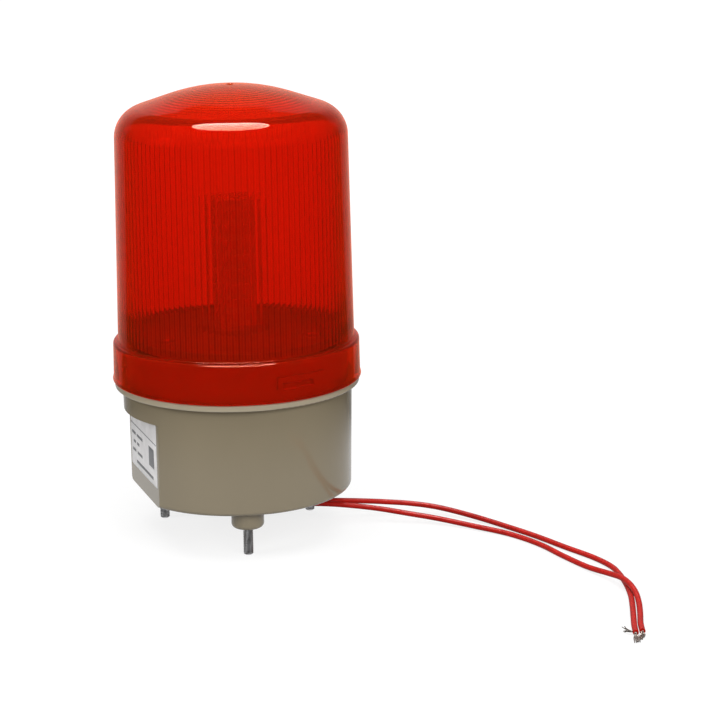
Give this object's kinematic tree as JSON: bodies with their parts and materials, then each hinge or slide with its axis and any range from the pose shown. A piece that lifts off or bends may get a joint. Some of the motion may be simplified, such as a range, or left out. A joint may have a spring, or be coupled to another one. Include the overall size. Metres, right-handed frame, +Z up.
{
  "type": "sound and light alarm",
  "caption": "Warning beacon with a ribbed domed red lens that twists off a moulded base, a lamp tower and buzzer inside, threaded mounting studs and bare-ended leads.",
  "frame": {"origin": "on the axis, in the plane of the three stud tips", "axes": "+Z up the axis to the top of the lens, -X out of the label flat"},
  "size_m": [0.1691, 0.228, 0.1826],
  "materials": {
    "lens_red": "clear red polycarbonate, glossy outside and ribbed inside",
    "housing_beige": "moulded beige plastic, satin gloss",
    "zinc_steel": "zinc plated steel",
    "black_rubber": "moulded rubber",
    "black_plastic": "moulded plastic",
    "pale_silicone": "moulded silicone",
    "grey_plastic": "moulded plastic",
    "lamp_board": "white board lacquer",
    "lamp_chip": "lamp chip with a yellow window",
    "green_board": "green board lacquer",
    "capacitor_sleeve": "printed sleeve left bare",
    "choke_core": "ferrite with enamelled wire",
    "tinned_metal": "tinned copper",
    "red_insulation": "soft PVC insulation"
  },
  "bodies": {
    "base": {"base_housing": "housing_beige", "mounting_studs": "zinc_steel", "wire_grommet": "black_rubber", "lens_seal": "pale_silicone", "deck": "grey_plastic", "deck_screws": "zinc_steel", "tower_foot": "grey_plastic", "tower_cap": "lamp_board", "led_board_1": "lamp_board", "led_board_2": "lamp_board", "led_board_3": "lamp_board", "led_board_4": "lamp_board", "led_chips_1": "lamp_chip", "led_chips_2": "lamp_chip", "led_chips_3": "lamp_chip", "led_chips_4": "lamp_chip", "led_chips_top": "lamp_chip", "driver_board": "green_board", "board_screws": "zinc_steel", "smoothing_capacitor": "capacitor_sleeve", "choke": "choke_core", "rectifier": "black_plastic", "control_chip": "black_plastic", "fuse": "tinned_metal", "buzzer": "black_plastic", "lead_wire_1": "red_insulation", "lead_wire_2": "red_insulation", "wire_end_1": "tinned_metal", "wire_end_2": "tinned_metal"},
    "lens": {"lens": "lens_red"}
  },
  "joints": [
    {"name": "lens_twist", "type": "hinge", "parent": "base", "child": "lens", "pos_m": [0, 0, 0.0649], "axis": [0, 0, 1], "range_deg": [0, 25]}
  ]
}
